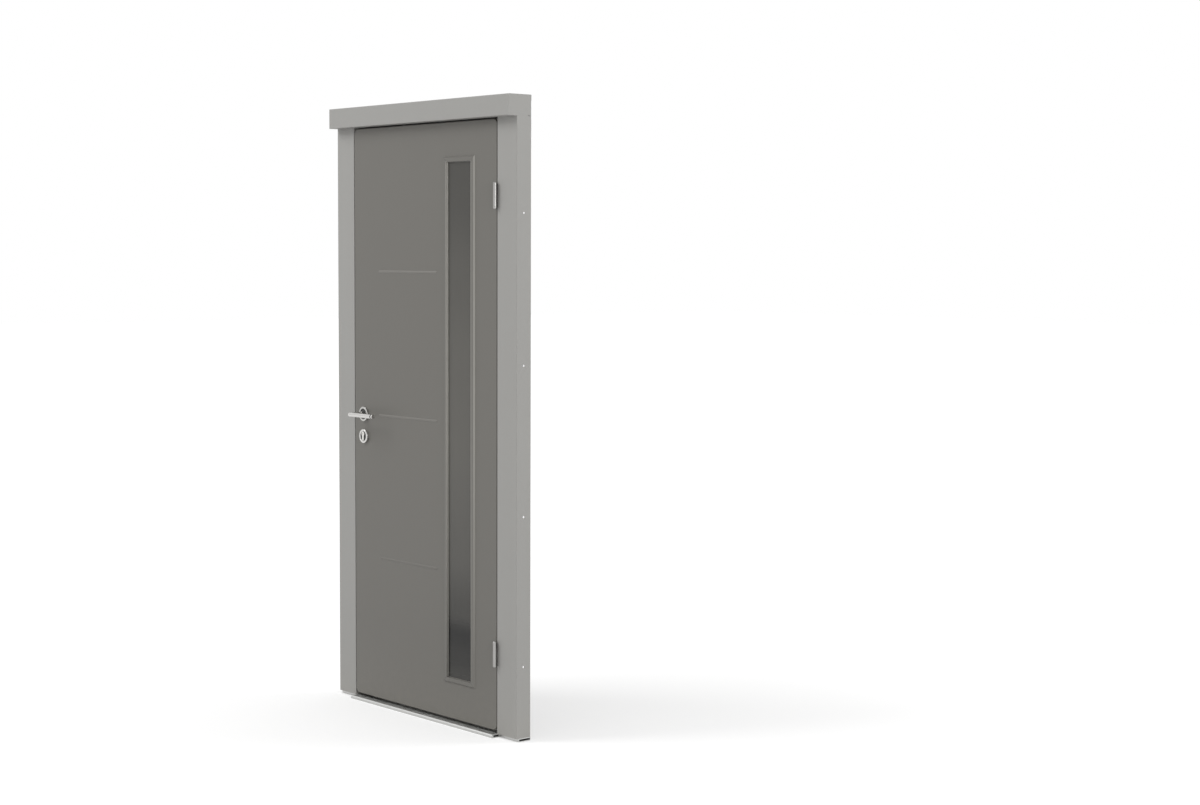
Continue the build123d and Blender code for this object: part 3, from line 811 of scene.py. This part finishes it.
def makePlateScrews(node, body, way):
    low, high = nodeBox(node)
    face = low[0] if way == "-x" else high[0]
    middle = (low[1] + high[1]) / 2
    places = [(face, middle, low[2] + plateScrews["inset"]), (face, middle, high[2] - plateScrews["inset"])]
    screw = screwGrid(plateScrews["radius"], plateScrews["rise"])
    makePiece(f"{node}_screws", facing(screw, way, places), body, "stainless")


# window clamp screws: down both flanges of the back frame and one across each end
clampScrews = {"radius": 3.4 * mm, "rise": 1.5 * mm, "inset": 12 * mm, "pitch": 290 * mm, "sheet": 1.5 * mm}


def makeClampScrews():
    low, high = nodeBox("window_back_frame")
    face = low[1] + clampScrews["sheet"]
    inset = clampScrews["inset"]
    places = [(x, face, z) for x in (low[0] + inset, high[0] - inset)
              for z in evenly(low[2], high[2], clampScrews["pitch"], inset)]
    places += [((low[0] + high[0]) / 2, face, z) for z in (low[2] + inset, high[2] - inset)]
    screw = screwGrid(clampScrews["radius"], clampScrews["rise"])
    makePiece("window_clamp_screws", facing(screw, "+y", places), "leaf", "stainless")


# lip rivets: round the folded lip of the skin, which they hold to the stiles and rails
lipRivets = {"radius": 3.6 * mm, "rise": 1.5 * mm, "inset": 9 * mm, "pitch": 250 * mm, "end": 62 * mm}


def makeLipRivets():
    low, high = nodeBox("door_skin")
    inset, pitch, end = lipRivets["inset"], lipRivets["pitch"], lipRivets["end"]
    places = [(x, high[1], z) for x in (low[0] + inset, high[0] - inset)
              for z in evenly(low[2], high[2], pitch, end)]
    places += [(x, high[1], z) for z in (low[2] + inset, high[2] - inset)
               for x in evenly(low[0], high[0], pitch, end)]
    rivet = rivetGrid(lipRivets["radius"], lipRivets["rise"])
    makePiece("leaf_lip_rivets", facing(rivet, "+y", places), "leaf", "leaf_paint")


# stiffener rivets: one through each foot at each end
footRivets = {"radius": 3.0 * mm, "rise": 1.3 * mm, "inset": 7.5 * mm, "end": 14 * mm, "sheet": 1.2 * mm}


def makeStiffenerRivets():
    inset, end = footRivets["inset"], footRivets["end"]
    places = []
    for level in ("lower", "middle", "upper"):
        low, high = nodeBox(f"{level}_stiffener")
        places += [(x, low[1] + footRivets["sheet"], z) for x in (low[0] + end, high[0] - end)
                   for z in (low[2] + inset, high[2] - inset)]
    rivet = rivetGrid(footRivets["radius"], footRivets["rise"])
    makePiece("stiffener_rivets", facing(rivet, "+y", places), "leaf", "galvanised")


# gusset rivets: two down the upright and two along the arm
gussetRivets = {"radius": 3.4 * mm, "rise": 1.6 * mm, "inset": 8 * mm, "first": 14 * mm, "second": 66 * mm}


def makeGussetRivets(side, sign):
    low, high = nodeBox(f"{side}_side_gusset")
    outerEdge, innerEdge = (high[0], low[0]) if sign > 0 else (low[0], high[0])
    inset, first, second = gussetRivets["inset"], gussetRivets["first"], gussetRivets["second"]
    upright = [(outerEdge - sign * inset, high[1], low[2] + along) for along in (first, second)]
    arm = [(innerEdge + sign * along, high[1], high[2] - inset) for along in (first, second)]
    rivet = rivetGrid(gussetRivets["radius"], gussetRivets["rise"])
    makePiece(f"{side}_side_gusset_rivets", facing(rivet, "+y", upright + arm), "frame", "galvanised")


# threshold screws: along the tread behind the nose
sillScrews = {"radius": 4.2 * mm, "rise": 1.0 * mm, "inset": 75 * mm, "pitch": 225 * mm, "back": 28 * mm}


def makeSillScrews():
    low, high = nodeBox("door_skin")
    tread = nodeBox("hinge_jamb")[0][2]
    places = [(x, sillScrews["back"], tread)
              for x in evenly(low[0], high[0], sillScrews["pitch"], sillScrews["inset"])]
    screw = screwGrid(sillScrews["radius"], sillScrews["rise"])
    makePiece("threshold_screws", facing(screw, "+z", places), "frame", "stainless")


for level in ("lower", "upper"):
    makeHingeScrews(level)
makePlateScrews("lock_faceplate", "leaf", "-x")
makePlateScrews("strike_plate", "frame", "+x")
makeClampScrews()
makeLipRivets()
makeStiffenerRivets()
for side, sign in (("lock", -1), ("hinge", 1)):
    makeGussetRivets(side, sign)
makeSillScrews()
print("fixings made")


# seals: a flat strip with a half-round bulb towards the leaf, drawn along each stop
sealBulb = {"strip": 1.2 * mm, "bulb": 4.2 * mm, "points": 17}


def makeSeal(node, along):
    # along is the axis that it runs on: 0 under the head, 2 up a jamb
    low, high = nodeBox(node)
    across = 2 if along == 0 else 0
    half, thick = (high[across] - low[across]) / 2, high[1] - low[1]
    angle = np.linspace(0, np.pi, sealBulb["points"])
    strip = sealBulb["strip"]
    bulb = np.stack([sealBulb["bulb"] * np.cos(angle), strip + (thick - strip) * np.sin(angle)], axis=-1)
    outline = np.concatenate([[[-half, 0], [half, 0], [half, strip]], bulb, [[-half, strip]]])
    rows = np.zeros((2, len(outline), 3))
    rows[:, :, across] = (low[across] + high[across]) / 2 + outline[:, 0]
    rows[:, :, 1] = high[1] - outline[:, 1]
    rows[:, :, along] = np.array([low[along], high[along]])[:, None]
    seal = makePiece(f"{node}_bulb", withCaps(rows), "frame", "rubber")
    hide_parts(node)


# pane lips: a quarter-round carried round the opening, coated in front of the pane and of rubber behind it
paneLip = {"reach": 2.0 * mm, "rise": 1.6 * mm, "bed": 14 * mm, "points": 7}


def makePaneLip(name, bed, outward, slot):
    low, high = nodeBox("window_pane")
    middle, half = (low + high) / 2, (high - low) / 2 - paneLip["bed"]
    angle = np.linspace(0, np.pi / 2, paneLip["points"])
    reach = np.append(paneLip["reach"] * np.cos(angle), 0)
    rise = np.append(paneLip["rise"] * np.sin(angle), 0)
    corners = np.array([(-1, -1), (1, -1), (1, 1), (-1, 1)], float)[:, None, :]
    loop = np.zeros((4, len(reach), 3))
    loop[:, :, 0] = middle[0] + corners[:, :, 0] * (half[0] - reach)
    loop[:, :, 1] = bed + outward * rise
    loop[:, :, 2] = middle[2] + corners[:, :, 1] * (half[2] - reach)
    makePiece(name, loop, "leaf", slot, closeRows=True)


makeSeal("lock_side_seal", 2)
makeSeal("hinge_side_seal", 2)
makeSeal("head_seal", 0)
paneLow, paneHigh = nodeBox("window_pane")
makePaneLip("pane_front_lip", paneLow[1], -1, "trim_paint")
makePaneLip("pane_back_lip", paneHigh[1], 1, "rubber")
print("seals made")


# studio: a pale floor and a white surround, both brighter to the eye than as light on the door
studio = {"surround": 0.58, "floorTone": 0.82, "floorHalf": 40.0, "floorRough": 0.9, "liftNear": 0.27,
          "liftFar": 0.60, "near": 1.0, "far": 7.5}


def whiteToTheEye(tree):
    # 1 for rays that the camera, a gloss or a see-through surface sends, 0 for the rest
    path = addNode(tree, "ShaderNodeLightPath")
    seen = mathNode(tree, "MAXIMUM", path.outputs["Is Camera Ray"], path.outputs["Is Glossy Ray"])
    return mathNode(tree, "MAXIMUM", seen, path.outputs["Is Transmission Ray"])


def makeSurround():
    world = bpy.data.worlds.new("studioSurround")
    scene.world = world
    world.use_nodes = True
    tree = world.node_tree
    background = tree.nodes["Background"]
    background.inputs["Color"].default_value = (1, 1, 1, 1)
    lift = mathNode(tree, "MULTIPLY", whiteToTheEye(tree), 1 - studio["surround"])
    feed(tree, mathNode(tree, "ADD", lift, studio["surround"]), background.inputs["Strength"])


def makeFloor():
    mesh = bpy.data.meshes.new("studioFloor")
    half = studio["floorHalf"]
    corners = [(-half, -half, 0), (half, -half, 0), (half, half, 0), (-half, half, 0)]
    mesh.from_pydata(corners, [], [(0, 1, 2, 3)])
    floor = bpy.data.objects.new("studioFloor", mesh)
    scene.collection.objects.link(floor)
    tone = (studio["floorTone"],) * 3 + (1,)
    material, tree, shader = newMaterial("studioWhite", Base_Color=tone, Roughness=studio["floorRough"],
                                         Specular_IOR_Level=0.0, Emission_Color=(1, 1, 1, 1))
    # the floor is lifted towards white with the distance from the door
    away = vectorMath(tree, "LENGTH", objectCoords(tree), result="Value")
    lift = addNode(tree, "ShaderNodeMapRange", interpolation_type="SMOOTHSTEP")
    feed(tree, away, lift.inputs["Value"])
    ends = {"From Min": "near", "From Max": "far", "To Min": "liftNear", "To Max": "liftFar"}
    for label, value in ends.items():
        feed(tree, studio[value], lift.inputs[label])
    lifted = mathNode(tree, "MULTIPLY", whiteToTheEye(tree), lift.outputs["Result"])
    feed(tree, lifted, shader.inputs["Emission Strength"])
    mesh.materials.append(material)


# lamps: a soft one from the front and left, weaker ones from the right and from behind
lamps = {"keyLamp": {"power": 238.0, "size": 3.6, "place": (-3.0, -4.2, 6.2)},
         "sideLamp": {"power": 110.0, "size": 3.0, "place": (6.6, -1.6, 2.6)},
         "backLamp": {"power": 110.0, "size": 3.0, "place": (3.2, 4.8, 4.0)}}
lampAim = (0, 0, 1.1)


def makeLamp(name, power, size, place):
    lamp = bpy.data.lights.new(name, "AREA")
    lamp.energy = power
    lamp.size = size
    holder = bpy.data.objects.new(name, lamp)
    holder.location = place
    holder.rotation_euler = (Vector(lampAim) - Vector(place)).to_track_quat("-Z", "Y").to_euler()
    scene.collection.objects.link(holder)


makeSurround()
makeFloor()
for name, lamp in lamps.items():
    makeLamp(name, **lamp)

# camera at the photograph's viewpoint, turned down a little so that the door stands where it does there
view = {"place": (5.938, -4.296, 1.606), "turn": 49.312, "down": 3.929, "roll": 0.222, "lens": 63.376,
        "sensor": 36.0, "farthest": 200.0}
camera = bpy.data.cameras.new("viewCamera")
camera.lens = view["lens"]
camera.sensor_width = view["sensor"]
camera.clip_end = view["farthest"]
viewer = bpy.data.objects.new("viewCamera", camera)
viewer.location = view["place"]
viewer.rotation_euler = (math.radians(90 - view["down"]), 0, math.radians(view["turn"]))
viewer.rotation_euler.rotate_axis("Z", math.radians(view["roll"]))
scene.collection.objects.link(viewer)
scene.camera = viewer
scene.view_settings.view_transform = "Standard"
print("studio and camera set")
